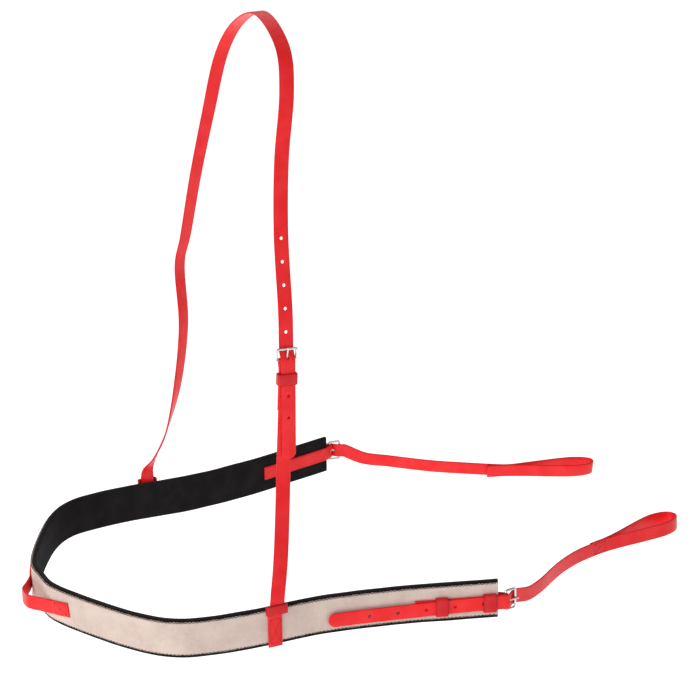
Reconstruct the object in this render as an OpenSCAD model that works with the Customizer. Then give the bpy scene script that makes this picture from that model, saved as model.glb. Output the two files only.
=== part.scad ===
// Racing breastplate: a padded chest band, a neck strap with a buckle, two girth
// straps with buckles at the band ends, and a small strap loop at the front.
// Frame: origin at the middle of the lining's chest face, +X towards the girth,
// +Y to the horse's right, +Z up.

/* [Band] */
// Height of the chest band
band_h = 50; // [44:1:56]
// Height of the outer facing, which leaves the lining showing along both edges
facing_h = 42; // [38:1:44]
// Thickness of the outer facing
facing_t = 2; // [1.5:0.1:3]
// Thickness of the soft lining
lining_t = 5; // [4:0.5:6]

/* [Straps] */
// Width of every strap
strap_w = 18; // [16:1:18]
// Thickness of one layer of strap
strap_t = 2.2; // [1.8:0.1:2.2]
// Radius of an adjustment hole
hole_r = 2; // [1.5:0.1:2.5]
// Distance between two holes of a girth strap
girth_pitch = 34.7; // [30:0.1:38]
// Distance between two holes of the neck strap
neck_pitch = 27; // [24:0.5:30]
// Thickness of a keeper's strap
keeper_t = 1.8; // [1.4:0.1:2.2]

/* [Buckles] */
// Radius of the wire that a buckle frame is bent from
bar_r = 1.6; // [1.4:0.1:1.8]
// Width inside a buckle frame
frame_gap = 21.5; // [20:0.5:22]
// Distance from the heel bar to the toe bar
frame_l = 14.2; // [13.5:0.1:15]
// Radius of a buckle tongue
tongue_r = 1.1; // [0.9:0.1:1.2]

/* [Rest pose] */
// How far the girth buckles lie turned in from the band ends, in degrees
rest_swing = 34; // [25:1:40]

/* [Hidden] */
$fn = 48;
// Room between parts that turn or lie against each other
play = 0.05;

red = [0.90, 0.20, 0.22];
dark_red = [0.78, 0.15, 0.18];
tan_cloth = [0.88, 0.81, 0.76];
black_foam = [0.13, 0.12, 0.13];
silver = [0.80, 0.80, 0.82];

// Plan of the band's right half, along the seam between lining and facing
half_plan = [
    [-2, 40], [25, 101], [62, 164], [95, 196], [135, 208],
    [190, 212.5], [272, 211.5], [361, 226], [429, 244.5], [481, 259]
];
plan = concat(
    [for (i = [len(half_plan) - 1:-1:0]) [half_plan[i].x, -half_plan[i].y]],
    [[-lining_t, 0]],
    half_plan
);

// ---- Curves ----
function unit(v) = v / norm(v);
function turn(a) = [cos(a), sin(a)];
function control(p, i) =
    i < 0 ? 2 * p[0] - p[1] :
    i >= len(p) ? 2 * p[len(p) - 1] - p[len(p) - 2] : p[i];
function between(a, b, c, d, t) =
    (2 * b + (c - a) * t + (2 * a - 5 * b + 4 * c - d) * t * t + (3 * b - a - 3 * c + d) * t * t * t) / 2;
// A smooth curve through all the points of p, with n steps from one to the next
function smooth(p, n) = concat(
    [for (i = [0:len(p) - 2], k = [0:n - 1])
        between(control(p, i - 1), p[i], p[i + 1], control(p, i + 2), k / n)],
    [p[len(p) - 1]]
);
function lengths(p) = [
    for (i = 0, s = 0; i < len(p); i = i + 1, s = s + (i < len(p) ? norm(p[i] - p[i - 1]) : 0)) s
];
// A gentle rise from 0 to 1
function ramp(t) = let (u = max(0, min(1, t))) u * u * (3 - 2 * u);
function tangent(p, i) = unit(p[min(i + 1, len(p) - 1)] - p[max(i - 1, 0)]);

// ---- The band's rail: places along the band by distance from its front ----
fine = smooth(plan, 16);
fine_s = lengths(fine);
half_l = fine_s[len(fine) - 1] / 2;
rail_n = 64;
rail_step = half_l / rail_n;
run_out = 30;
function fine_xy(s) = [
    lookup(s + half_l, [for (i = [0:len(fine) - 1]) [fine_s[i], fine[i].x]]),
    lookup(s + half_l, [for (i = [0:len(fine) - 1]) [fine_s[i], fine[i].y]])
];
rail_xy = [for (k = [-rail_n:rail_n]) fine_xy(k * rail_step)];
rail_dir = [for (i = [0:2 * rail_n]) tangent(rail_xy, i)];
// Outward normals; the straight run past each end carries what lies behind the band
rail_out = [for (d = rail_dir) [-d.y, d.x]];
rail_s = [for (k = [-rail_n:rail_n]) k * rail_step];
table_s = concat([-half_l - run_out], rail_s, [half_l + run_out]);
table_xy = concat(
    [rail_xy[0] - run_out * rail_dir[0]], rail_xy, [rail_xy[2 * rail_n] + run_out * rail_dir[2 * rail_n]]
);
table_out = concat([rail_out[0]], rail_out, [rail_out[2 * rail_n]]);
function rail(s, off) = [
    lookup(s, [for (i = [0:len(table_s) - 1]) [table_s[i], (table_xy[i] + off * table_out[i]).x]]),
    lookup(s, [for (i = [0:len(table_s) - 1]) [table_s[i], (table_xy[i] + off * table_out[i]).y]])
];
function rail_angle(s) = let (d = rail(s + 1, 0) - rail(s - 1, 0)) atan2(d.y, d.x);
function stations(from, to) = concat([from], [for (s = rail_s) if (s > from + 0.01 && s < to - 0.01) s], [to]);

// A layer of the band: from and to along the rail, off to off + t outwards, z to z + h
module layer(from, to, off, t, z, h) {
    s = stations(from, to);
    inner = [for (v = s) rail(v, off)];
    outer = [for (i = [len(s) - 1:-1:0]) rail(s[i], off + t)];
    translate([0, 0, z]) linear_extrude(h) polygon(concat(inner, outer));
}

// A flat strip of constant thickness that stands along a plan path
module strip(path, t, z, h) {
    n = len(path);
    side = [for (i = [0:n - 1]) let (d = tangent(path, i)) [-d.y, d.x] * t / 2];
    translate([0, 0, z]) linear_extrude(h)
        polygon(concat([for (i = [0:n - 1]) path[i] + side[i]], [for (i = [n - 1:-1:0]) path[i] - side[i]]));
}

// A strap through space: points, and at each point the direction of its width.
// A rounded strap starts at a round tip.
module ribbon(points, widths, rounded = false) {
    n = len(points);
    s = lengths(points);
    bevel = strap_t / 4;
    least = 2;
    half = [for (i = [0:n - 1]) let (r = strap_w / 2)
        rounded && s[i] < r ? max(least, sqrt(r * r - (r - s[i]) * (r - s[i]))) : r];
    rings = [for (i = [0:n - 1]) let (
            along = tangent(points, i),
            across = unit(widths[i] - (widths[i] * along) * along),
            up = cross(along, across),
            w = half[i], t = strap_t / 2
        )
        for (q = [[bevel - w, -t], [w - bevel, -t], [w, bevel - t], [w, t - bevel],
                  [w - bevel, t], [bevel - w, t], [-w, t - bevel], [-w, bevel - t]])
            points[i] + q.x * across + q.y * up];
    m = 8;
    sides = [for (i = [0:n - 2], j = [0:m - 1]) let (
            a = i * m + j, b = i * m + (j + 1) % m, c = b + m, d = a + m
        ) each [[a, d, c], [a, c, b]]];
    polyhedron(rings, concat(sides, [[for (j = [0:m - 1]) j]], [[for (j = [m - 1:-1:0]) (n - 1) * m + j]]));
}

// ---- Buckle geometry: heel bar along Z, toe bar towards +X, outside towards +Y ----
rake = 9;
corner = 2.5;
// A strap folds round the heel bar this far out; a true bore is then cut for the bar
fold_r = bar_r + strap_t / 2;
fold_face = fold_r + strap_t / 2;
pass_r = fold_face + 0.2 + strap_t / 2;
// Where the strap passes: over the folded chape, then inside the toe bar
function pass(first, last) = [for (a = [first:-8:last]) pass_r * turn(a)];
under_toe = [frame_l * cos(rake), frame_l * sin(rake) - bar_r - 0.3 - strap_t / 2];
dip = smooth([pass_r * turn(64), [7, 1.9], [10.6, 0], under_toe, under_toe + [6, -0.2]], 4);
dip_path = [for (i = [1:len(dip) - 1]) dip[i]];

module frame_shape() {
    h = frame_gap / 2 + bar_r;
    rotate([0, 0, rake]) {
        for (x = [0, frame_l]) translate([x, 0, corner - h]) cylinder(r = bar_r, h = 2 * (h - corner));
        for (z = [-h, h])
            translate([corner, 0, z]) rotate([0, 90, 0]) cylinder(r = bar_r, h = frame_l - 2 * corner);
        for (q = [[1, 1, 0], [0, 1, 90], [0, -1, 180], [1, -1, 270]])
            translate([q.x ? frame_l - corner : corner, 0, q.y * (h - corner)])
                rotate([90, 0, 0]) rotate([0, 0, q.z])
                    rotate_extrude(angle = 90) translate([corner, 0]) circle(r = bar_r);
    }
}

tongue_root = [1.5, 2.3];
tongue_tip = [16, 5.5];
tongue_eye_r = 3;
tongue_eye_h = 3.6;
module tongue_shape() {
    d = tongue_tip - tongue_root;
    round_end = [for (a = [0:15:90]) [tongue_r * cos(a), norm(d) + tongue_r * sin(a)]];
    rotate_extrude() polygon([
        [bar_r + play, -tongue_eye_h / 2], [tongue_eye_r, -tongue_eye_h / 2],
        [tongue_eye_r, tongue_eye_h / 2], [bar_r + play, tongue_eye_h / 2]
    ]);
    translate([tongue_root.x, tongue_root.y, 0]) rotate([0, 0, atan2(d.y, d.x)]) rotate([0, 90, 0])
        rotate_extrude() polygon(concat([[0, 0], [tongue_r, 0]], round_end));
}

// The slot in a folded chape that the tongue works in, with a true bore for the heel bar
module heel_cut() {
    slot_h = tongue_eye_h + 0.8;
    translate([-4, -2 * fold_face, -slot_h / 2]) cube([4 + 2 * fold_face, 4 * fold_face, slot_h]);
    cylinder(r = bar_r + play, h = 2 * strap_w, center = true);
}

// The long hole that the tongue stands in while the strap is buckled
module tongue_hole() {
    slot_l = 4.6;
    slot_r = tongue_r + 0.5;
    slot_mid = [4.8, 3.1, 0];
    strap_slope = -30;
    translate(slot_mid) rotate([0, 0, strap_slope]) rotate([90, 0, 0]) {
        for (x = [-slot_l / 2, slot_l / 2]) translate([x, 0, 0]) cylinder(r = slot_r, h = 10, center = true);
        cube([slot_l, 2 * slot_r, 10], center = true);
    }
}

// ---- Band ----
// The facing sits this far above the middle of the lining
facing_z = 0.5;
module band_facing() {
    color(tan_cloth) layer(-half_l, half_l, 0, facing_t, facing_z - facing_h / 2, facing_h);
}

module band_lining() {
    color(black_foam) layer(-half_l, half_l, -lining_t, lining_t, -band_h / 2, band_h);
}

// ---- Front loop: sewn flat at both ends and bowed forward in the middle ----
loop_end = 71;
loop_leaves = 40;
loop_front = 26;
// Its middle hangs lower than its sewn ends
loop_end_z = 1.5;
loop_leave_z = -3.5;
loop_front_z = -5;
function on_facing(s) = let (
        q = rail(s, facing_t + strap_t / 2 + play),
        f = (s - loop_leaves) / (loop_end - loop_leaves)
    ) [q.x, q.y, loop_leave_z + f * (loop_end_z - loop_leave_z)];
module front_loop_strap() {
    flat = [for (s = stations(loop_leaves, loop_end)) on_facing(s)];
    front = [-loop_front, 0, loop_front_z];
    bow = smooth([on_facing(loop_leaves + 8), on_facing(loop_leaves), [-14, 26, loop_front_z + 0.4],
                  [-loop_front + 2, 12, loop_front_z], front], 6);
    half = concat([for (i = [len(flat) - 1:-1:1]) flat[i]], [for (i = [6:len(bow) - 2]) bow[i]]);
    other = [for (i = [len(half) - 1:-1:0]) [half[i].x, -half[i].y, half[i].z]];
    path = concat(half, [front], other);
    color(red) ribbon(path, [for (q = path) [0, 0, 1]]);
}

// ---- Neck strap ends that are sewn on the band ----
anchor_s = 345;
module neck_anchor(side) {
    mid = side * anchor_s;
    color(red) layer(mid - strap_w / 2, mid + strap_w / 2, facing_t, strap_t, -band_h / 2, band_h);
}

// The keeper stands over the band's edge. The left one is wider and lies further
// rearwards, as the strap above it leaves the anchor rearwards.
band_keeper_h = 11.8;
band_keeper_low = 15.8;
function band_keeper_slack(side) = side > 0 ? 1.8 : 2.7;
function band_keeper_shift(side) = side > 0 ? 0 : 2.4;
module band_keeper(side) {
    reach = strap_w / 2 + band_keeper_slack(side) + keeper_t;
    mid = side * (anchor_s + band_keeper_shift(side));
    lift = strap_t + 1.1;
    low = band_keeper_low;
    color(dark_red) {
        layer(mid - reach, mid + reach, facing_t + lift, keeper_t, low, band_keeper_h);
        for (e = [mid - reach, mid + reach - keeper_t])
            layer(e, e + keeper_t, facing_t, lift + keeper_t / 2, low, band_keeper_h);
    }
}

// ---- Girth side: the right side is drawn, and the left side mirrors it ----
chape_from = 520;
// The chape's inner leaf is the longer one
inner_from = 513;
// The right chape is sewn on a little higher, and each tail lies a little lower than its chape
function chape_z(side) = side > 0 ? 1 : -3;
function tail_z(side) = chape_z(side) - 1.8;
tail_from = 413;
heel_past_end = 9;
leaf_off = facing_t + strap_t;
heel_off = leaf_off - fold_face;
heel = rail(half_l + heel_past_end, heel_off);
end_angle = rail_angle(half_l + heel_past_end);
swing_angle = end_angle - rest_swing;

module sided(side) {
    if (side > 0) children();
    else mirror([0, 1, 0]) children();
}

module at_heel(side, angle) {
    translate([heel.x, heel.y, chape_z(side)]) rotate([0, 0, angle]) children();
}

module chape(side) {
    tip = turn(end_angle);
    across = [-tip.y, tip.x];
    fold = [for (a = [90:-15:-60]) let (q = fold_r * turn(a)) heel + q.x * tip + q.y * across];
    outer = [for (s = stations(chape_from, half_l)) rail(s, facing_t + strap_t / 2)];
    inner = [for (s = stations(inner_from, half_l)) rail(s, -lining_t - strap_t / 2)];
    color(red) sided(side) difference() {
        strip(concat(outer, fold, [for (i = [len(inner) - 1:-1:0]) inner[i]]),
              strap_t, chape_z(side) - strap_w / 2, strap_w);
        at_heel(side, end_angle) heel_cut();
    }
}

module strap_keeper(side, s, width) {
    cavity = strap_w + 2.4;
    lift = 2 * strap_t + 0.3;
    color(dark_red) sided(side) translate([0, 0, (chape_z(side) + tail_z(side)) / 2]) {
        layer(s - width / 2, s + width / 2, facing_t + lift, keeper_t,
              -cavity / 2 - keeper_t, cavity + 2 * keeper_t);
        for (z = [-cavity / 2 - keeper_t, cavity / 2])
            layer(s - width / 2, s + width / 2, facing_t, lift + keeper_t / 2, z, keeper_t);
    }
}

// The strap's tail, from its round tip to just short of the heel bar
first_hole = 50;
module girth_tail(side) {
    r = strap_w / 2;
    tip = rail(tail_from + r, leaf_off);
    low = tail_z(side) - r;
    holes = [for (k = [0:4]) tail_from + first_hole + k * girth_pitch];
    color(red) sided(side) difference() {
        union() {
            layer(tail_from + r, half_l + heel_past_end - 4, leaf_off, strap_t, low, strap_w);
            intersection() {
                layer(tail_from, tail_from + r, leaf_off, strap_t, low, strap_w);
                translate([tip.x, tip.y, tail_z(side)]) rotate([0, 0, rail_angle(tail_from + r)]) rotate([90, 0, 0])
                    cylinder(r = r, h = 20, center = true);
            }
        }
        for (s = holes) let (p = rail(s, leaf_off))
            translate([p.x, p.y, tail_z(side)]) rotate([0, 0, rail_angle(s)]) rotate([90, 0, 0])
                cylinder(r = hole_r, h = 10, center = true);
    }
}

// The free run and its end loop: the run's points, then a teardrop about a straight axis
run_points = [
    [532, 242, -10], [559, 223, -12], [585, 201, -13], [611, 181, -14], [639, 164, -15], [668, 150, -17]
];
loop_root = [695, 138, -19];
loop_angle = -16.5;
// Half widths of the teardrop at distances from its root
teardrop = [[0, 1.2], [25, 4.4], [55, 10], [85, 14.5], [104, 13], [115, 7.5], [118, 0]];
lap = 26;

function loop_at(d, w) = let (a = turn(loop_angle))
    [loop_root.x + d * a.x - w * a.y, loop_root.y + d * a.y + w * a.x, loop_root.z - d / 100];

// lean is [degrees, how far past the buckle it starts, how far it takes];
// grow is how much longer and wider the end loop hangs
module girth_strap(side, lean, grow) {
    a = turn(swing_angle);
    passing = [for (q = concat(pass(92, 64), dip_path))
        [heel.x + q.x * a.x - q.y * a.y, heel.y + q.x * a.y + q.y * a.x, chape_z(side)]];
    n = len(teardrop);
    back = concat(
        [for (i = [n - 2:-1:0]) loop_at(grow.x * teardrop[i][0], -grow.y * teardrop[i][1])],
        [for (d = [-lap / 2, -lap]) loop_at(d, -1.2 - d * 0.006)]
    );
    last = passing[len(passing) - 1];
    round = [for (q = teardrop) loop_at(grow.x * q[0], grow.y * q[1])];
    free = smooth(concat([last], run_points, round, back), 4);
    points = concat([for (i = [0:len(passing) - 2]) passing[i]], free);
    s = lengths(points);
    clear = s[len(passing) - 1] + lean[1];
    leans = [for (v = s) lean[0] * ramp((v - clear) / lean[2])];
    color(red) sided(side) difference() {
        ribbon(points, [for (g = leans) [0, sin(g), cos(g)]]);
        at_heel(side, swing_angle) tongue_hole();
    }
}

module girth_frame(side) {
    color(silver) sided(side) at_heel(side, swing_angle) frame_shape();
}

module girth_tongue(side) {
    color(silver) sided(side) at_heel(side, swing_angle) tongue_shape();
}

// ---- Neck: the buckle stands on the left, on a straight length of strap ----
neck_heel = [252.5, -170 + fold_r, 309.5];
neck_lean = 3.2;
tail_l = 121;
neck_fold_lap = 60;

module at_neck_heel() {
    translate(neck_heel) rotate([0, neck_lean, 0]) rotate([0, -90, 180]) children();
}
// From buckle coordinates, x up the strap, y outwards and across rearwards, to the neck
function neck_at(q, across = 0) = neck_heel
    + [q.x * sin(neck_lean) + across * cos(neck_lean), -q.y, q.x * cos(neck_lean) - across * sin(neck_lean)];

// Places and, in degrees, the turn of the strap's width from fore-and-aft
neck_left = [
    [257, -158, 369, 0], [263, -136, 452, 0], [274, -116, 532, 0], [288, -102, 607, 0], [298, -68, 653, 0]
];
neck_crown = [300, 0, 678, 0];
neck_right = [
    [298, 68, 653, 0], [288, 102, 607, 3], [274, 116, 532, 8], [263, 136, 452, 15], [256, 160, 369, 21],
    [251, 172, 325, 26], [251, 166, 249, 30], [243, 174, 167, 38], [232, 190, 101, 62], [221, 206, 62, 56],
    [212.5, 213.8, 42, 20], [211.3, 215.3, 30, 4]
];
neck_low = [
    [214.8, -215.3, 30, 0], [216.6, -213.8, 42, 0], [222.5, -207, 66, 0], [229.5, -196, 92, 0],
    [237, -183, 125, 0], [242, -175, 155, 0]
];

function place(p) = [p.x, p.y, p.z];
function facing(p) = [cos(p[3]), sin(p[3]), 0];
function flat(points) = [for (p = points) [p.x, p.y, p.z, 0]];

neck_layer = fold_r + strap_t;
// The tail drifts rearwards off the strap that it lies on
function drift(x) = 0.8 - 0.04 * x;
neck_inside = flat([
    for (d = [0, 0.8, 2, 4, 6.5, 9]) neck_at([d - tail_l, neck_layer], drift(d - tail_l)),
    for (d = [20:12:116]) neck_at([d - tail_l, neck_layer], drift(d - tail_l)),
    for (q = pass(92, 64)) neck_at(q - [0, 0.2], drift(q.x)),
    for (q = dip_path) neck_at(q, drift(q.x))
]);
neck_over = smooth(concat([neck_inside[len(neck_inside) - 1]], neck_left, [neck_crown], neck_right), 8);
neck_path = concat([for (i = [0:len(neck_inside) - 2]) neck_inside[i]], neck_over);
neck_points = [for (p = neck_path) place(p)];
neck_s = lengths(neck_points);
// Distance along the strap from its tip to the hole that the tongue stands in
tongue_s = tail_l + 6;
// The tail's holes and the holes above the buckle, as shifts from whole pitches
tail_shift = 6.7;
upper_shift = 2.4;

module neck_hole(s) {
    i = max([for (k = [0:len(neck_s) - 2]) if (neck_s[k] <= s) k]);
    along = unit(neck_points[i + 1] - neck_points[i]);
    p = neck_points[i] + (s - neck_s[i]) * along;
    out = cross(along, [1, 0, 0]);
    translate(p) rotate([0, acos(out.z), atan2(out.y, out.x)]) cylinder(r = hole_r, h = 10, center = true);
}

module neck_strap() {
    color(red) difference() {
        ribbon(neck_points, [for (p = neck_path) facing(p)], true);
        for (k = [-3, -2]) neck_hole(tongue_s + k * neck_pitch + tail_shift);
        for (k = [1:5]) neck_hole(tongue_s + k * neck_pitch + upper_shift);
        at_neck_heel() tongue_hole();
    }
}

module neck_buckle_strap() {
    rise = smooth(concat(neck_low, flat([neck_at([-127.5, fold_r]), neck_at([-90, fold_r])])), 5);
    path = concat(
        rise,
        flat([
            for (x = [-70, -45, -20, -6]) neck_at([x, fold_r]),
            for (a = [90:-15:-105]) neck_at(fold_r * turn(a)),
            for (x = [-11, -30, -neck_fold_lap]) neck_at([x, fold_r - strap_t - 0.1])
        ])
    );
    color(red) difference() {
        ribbon([for (p = path) place(p)], [for (p = path) facing(p)]);
        at_neck_heel() heel_cut();
    }
}

module neck_buckle_frame() {
    color(silver) at_neck_heel() frame_shape();
}

module neck_buckle_tongue() {
    color(silver) at_neck_heel() tongue_shape();
}

neck_keeper_low = -29;
module neck_keeper() {
    width = 14;
    inside = fold_r - 1.5 * strap_t - 0.4;
    outside = fold_r + 1.5 * strap_t + 0.4;
    // It takes in the drift of the upper layer
    half = strap_w / 2 + 1.6;
    color(dark_red) at_neck_heel() translate([neck_keeper_low, 0, drift(0)]) difference() {
        translate([0, inside - keeper_t, -half - keeper_t])
            cube([width, outside - inside + 2 * keeper_t, 2 * (half + keeper_t)]);
        translate([-1, inside, -half]) cube([width + 2, outside - inside, 2 * half]);
    }
}

left_lean = [-4, 0, 40];
right_lean = [-12, 0, 60];
tail_keeper_s = 552;
left_grow = [1.05, 1.05];
right_grow = [1, 1];
tail_keeper_w = 15;
buckle_keeper_s = 610;
buckle_keeper_w = 16;

band_facing();
band_lining();
front_loop_strap();
neck_anchor(-1);  // left_neck_anchor
neck_anchor(1);  // right_neck_anchor
band_keeper(-1);  // left_band_keeper
band_keeper(1);  // right_band_keeper
chape(-1);  // left_chape
chape(1);  // right_chape
strap_keeper(-1, buckle_keeper_s, buckle_keeper_w);  // left_buckle_keeper
strap_keeper(1, buckle_keeper_s, buckle_keeper_w);  // right_buckle_keeper
strap_keeper(-1, tail_keeper_s, tail_keeper_w);  // left_tail_keeper
strap_keeper(1, tail_keeper_s, tail_keeper_w);  // right_tail_keeper
girth_tail(-1);  // left_girth_tail
girth_tail(1);  // right_girth_tail
girth_strap(-1, left_lean, left_grow);  // left_girth_strap
girth_strap(1, right_lean, right_grow);  // right_girth_strap
girth_frame(-1);  // left_buckle_frame
girth_frame(1);  // right_buckle_frame
girth_tongue(-1);  // left_buckle_tongue
girth_tongue(1);  // right_buckle_tongue
neck_strap();
neck_buckle_strap();
neck_buckle_frame();
neck_buckle_tongue();
neck_keeper();
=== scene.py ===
"""Racing breastplate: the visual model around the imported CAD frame.

Lengths in the shape code are millimetres in the CAD frame, as in part.scad, and
mesh() turns them into metres.
"""
import math

import bmesh
import bpy
import numpy as np
from mathutils import Matrix, Vector, noise


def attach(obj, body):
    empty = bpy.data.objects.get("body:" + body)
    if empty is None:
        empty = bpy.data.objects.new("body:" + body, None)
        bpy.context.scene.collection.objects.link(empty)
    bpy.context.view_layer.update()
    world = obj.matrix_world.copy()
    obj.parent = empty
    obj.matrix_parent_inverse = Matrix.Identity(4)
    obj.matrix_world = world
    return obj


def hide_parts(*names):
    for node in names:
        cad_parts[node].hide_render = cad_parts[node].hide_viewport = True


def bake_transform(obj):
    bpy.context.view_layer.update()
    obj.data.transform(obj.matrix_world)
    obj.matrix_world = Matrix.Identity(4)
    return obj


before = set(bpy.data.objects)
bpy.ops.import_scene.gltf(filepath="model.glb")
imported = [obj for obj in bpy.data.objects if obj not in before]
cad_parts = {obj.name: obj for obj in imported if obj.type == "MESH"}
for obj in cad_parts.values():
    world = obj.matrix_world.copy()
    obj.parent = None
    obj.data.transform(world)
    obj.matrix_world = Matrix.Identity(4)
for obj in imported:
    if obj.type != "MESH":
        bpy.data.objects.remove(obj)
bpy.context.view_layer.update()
MM = 0.001

# ---------------------------------------------------------------- sizes, as in part.scad
BAND_H = 50.0
FACING_H = 42.0
FACING_Z = 0.5
FACING_T = 2.0
LINING_T = 5.0
STRAP_W = 18.0
STRAP_T = 2.2
KEEPER_T = 1.8
HOLE_R = 2.0
GIRTH_PITCH = 34.7
FIRST_GIRTH_HOLE = 50.0
NECK_PITCH = 27.0
# The long hole that a tongue stands in: its middle in buckle coordinates, then its half width and stretch
TONGUE_AT = (4.8, 3.1)
TONGUE_HOLE = (1.6, 1.9)
BAR_R = 1.6
FRAME_L = 14.2
RAKE = 9.0
REST_SWING = 34.0
PLAY = 0.2
TOE_GAP = 0.3
# Middle and outer face of a strap folded round a heel bar, and the middle of one that passes over it
FOLD_R = BAR_R + STRAP_T / 2
FOLD_FACE = FOLD_R + STRAP_T / 2
PASS_R = FOLD_FACE + PLAY + STRAP_T / 2
# Middle of a strap sewn on the facing, middle of one on the lining, and the outer face of the first
ON_FACING = FACING_T + STRAP_T / 2
ON_LINING = -LINING_T - STRAP_T / 2
LEAF_OFF = FACING_T + STRAP_T
CHAPE_FROM = 520.0
INNER_FROM = 513.0
CHAPE_Z = {-1: -3.0, 1: 1.0}
TAIL_FROM = 413.0
TAIL_DROP = 3.0
HEEL_PAST_END = 9.0
ANCHOR_S = 345.0
# Plan of the right half of the band's seam, from the middle of the front to its end
HALF_PLAN = [
    (-2, 40), (25, 101), (62, 164), (95, 196), (135, 208),
    (190, 212.5), (272, 211.5), (361, 226), (429, 244.5), (481, 259),
]


# ---------------------------------------------------------------- curves
def unit(v):
    v = np.asarray(v, float)
    return v / np.linalg.norm(v)


def turn(degrees):
    a = math.radians(degrees)
    return np.array([math.cos(a), math.sin(a)])


def ramp(t):
    t = np.clip(t, 0.0, 1.0)
    return t * t * (3 - 2 * t)


def spline(points, steps):
    """A smooth curve through all the points, with so many steps from one to the next."""
    p = [np.array(q, float) for q in points]
    p = [2 * p[0] - p[1]] + p + [2 * p[-1] - p[-2]]
    out = []
    for a, b, c, d in zip(p, p[1:], p[2:], p[3:]):
        for k in range(steps):
            t = k / steps
            out.append((2 * b + (c - a) * t + (2 * a - 5 * b + 4 * c - d) * t * t
                        + (3 * b - a - 3 * c + d) * t ** 3) / 2)
    out.append(p[-2])
    return out


def lengths(points):
    p = np.array(points, float)
    return np.concatenate([[0.0], np.cumsum(np.linalg.norm(np.diff(p, axis=0), axis=1))])


# The band's rail: 64 steps a half, as in the CAD, and a straight run past each end
RAIL_N = 64
RUN_OUT = 4
_plan = spline([(x, -y) for x, y in reversed(HALF_PLAN)] + [(-LINING_T, 0)] + HALF_PLAN, 16)
_plan_s = lengths(_plan)
HALF_L = _plan_s[-1] / 2
STEP = HALF_L / RAIL_N
_at = np.linspace(0, 2 * HALF_L, 2 * RAIL_N + 1)
_rail = np.column_stack([np.interp(_at, _plan_s, np.array(_plan)[:, k]) for k in (0, 1)])
_rail = np.vstack(
    [_rail[0] - k * (_rail[1] - _rail[0]) for k in range(RUN_OUT, 0, -1)]
    + [_rail]
    + [_rail[-1] + k * (_rail[-1] - _rail[-2]) for k in range(1, RUN_OUT + 1)]
)


def rail(s, off=0.0):
    """Where a point lies that is s along the band from its front, and off outwards from the seam."""
    u = s / STEP + RAIL_N + RUN_OUT
    i = int(min(max(math.floor(u), 1), len(_rail) - 3))
    t = u - i
    a, b, c, d = _rail[i - 1:i + 3]
    p = (2 * b + (c - a) * t + (2 * a - 5 * b + 4 * c - d) * t * t + (3 * b - a - 3 * c + d) * t ** 3) / 2
    g = (c - a) + 2 * (2 * a - 5 * b + 4 * c - d) * t + 3 * (3 * b - a - 3 * c + d) * t * t
    n = unit((-g[1], g[0]))
    return p + off * n


END_DIR = unit(_rail[-1] - _rail[-2])
END_ANGLE = math.degrees(math.atan2(END_DIR[1], END_DIR[0]))
SWING_ANGLE = END_ANGLE - REST_SWING
HEEL = rail(HALF_L + HEEL_PAST_END, LEAF_OFF - FOLD_FACE)


# The most that a path turns between two stations, in degrees, and the least between the last two
SHARPEST = 9.0
SHORTEST = 0.3


class Path:
    """A strap's middle line, with the direction of its width at each point."""

    def __init__(self, points, widths):
        p = np.array(points, float)
        w = np.array(widths, float)
        if w.ndim == 1:
            w = np.tile(w, (len(p), 1))
        keep = np.concatenate([[True], np.linalg.norm(np.diff(p, axis=0), axis=1) > 1e-3])
        p, w = p[keep], w[keep]
        self.p = p
        self.s = lengths(p)
        along = np.gradient(p, self.s, axis=0)
        along /= np.linalg.norm(along, axis=1)[:, None]
        w = w - np.sum(w * along, axis=1)[:, None] * along
        self.across = w / np.linalg.norm(w, axis=1)[:, None]
        self.along = along
        self.up = np.cross(along, self.across)

    def read(self, s, table):
        return np.stack([np.interp(s, self.s, table[:, k]) for k in range(3)], axis=-1)

    def at(self, s, w=0.0, t=0.0):
        s = np.asarray(s, float)
        w = np.asarray(w, float)[..., None]
        t = np.asarray(t, float)[..., None]
        return self.read(s, self.p) + w * self.read(s, self.across) + t * self.read(s, self.up)

    def nearest(self, point):
        return float(self.s[np.argmin(np.linalg.norm(self.p - np.array(point, float), axis=1))])

    def stations(self, longest):
        """Places along the path, closer together where it bends."""
        out, last, turned = [0.0], 0, 0.0
        for i in range(1, len(self.s)):
            cos = float(np.clip(np.dot(self.along[i], self.along[i - 1]), -1, 1))
            turned += math.degrees(math.acos(cos))
            if self.s[i] - self.s[last] >= longest or turned >= SHARPEST:
                while self.s[i] - out[-1] > 1.5 * longest:
                    out.append(out[-1] + longest)
                out.append(float(self.s[i]))
                last, turned = i, 0.0
        while self.s[-1] - out[-1] > 1.5 * longest:
            out.append(out[-1] + longest)
        if self.s[-1] - out[-1] > SHORTEST:
            out.append(float(self.s[-1]))
        else:
            out[-1] = float(self.s[-1])
        return out


# ---------------------------------------------------------------- meshes
def mesh(name, verts, faces, places, material, smooth=38.0):
    """An object from millimetre vertices.

    places holds each vertex's own (along, across, through), which the textures go by, and faces
    that meet at less than smooth degrees are shaded as one.
    """
    data = bpy.data.meshes.new(name)
    data.from_pydata([tuple(v) for v in np.asarray(verts) * MM], [], faces)
    attribute = data.attributes.new("place", "FLOAT_VECTOR", "POINT")
    attribute.data.foreach_set("vector", np.asarray(places, np.float32).ravel())
    bm = bmesh.new()
    bm.from_mesh(data)
    bmesh.ops.recalc_face_normals(bm, faces=bm.faces)
    for e in bm.edges:
        e.smooth = e.calc_face_angle(0.0) < math.radians(smooth)
    for f in bm.faces:
        f.smooth = True
    bm.to_mesh(data)
    bm.free()
    data.materials.append(material)
    obj = bpy.data.objects.new(name, data)
    bpy.context.scene.collection.objects.link(obj)
    return obj


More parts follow.
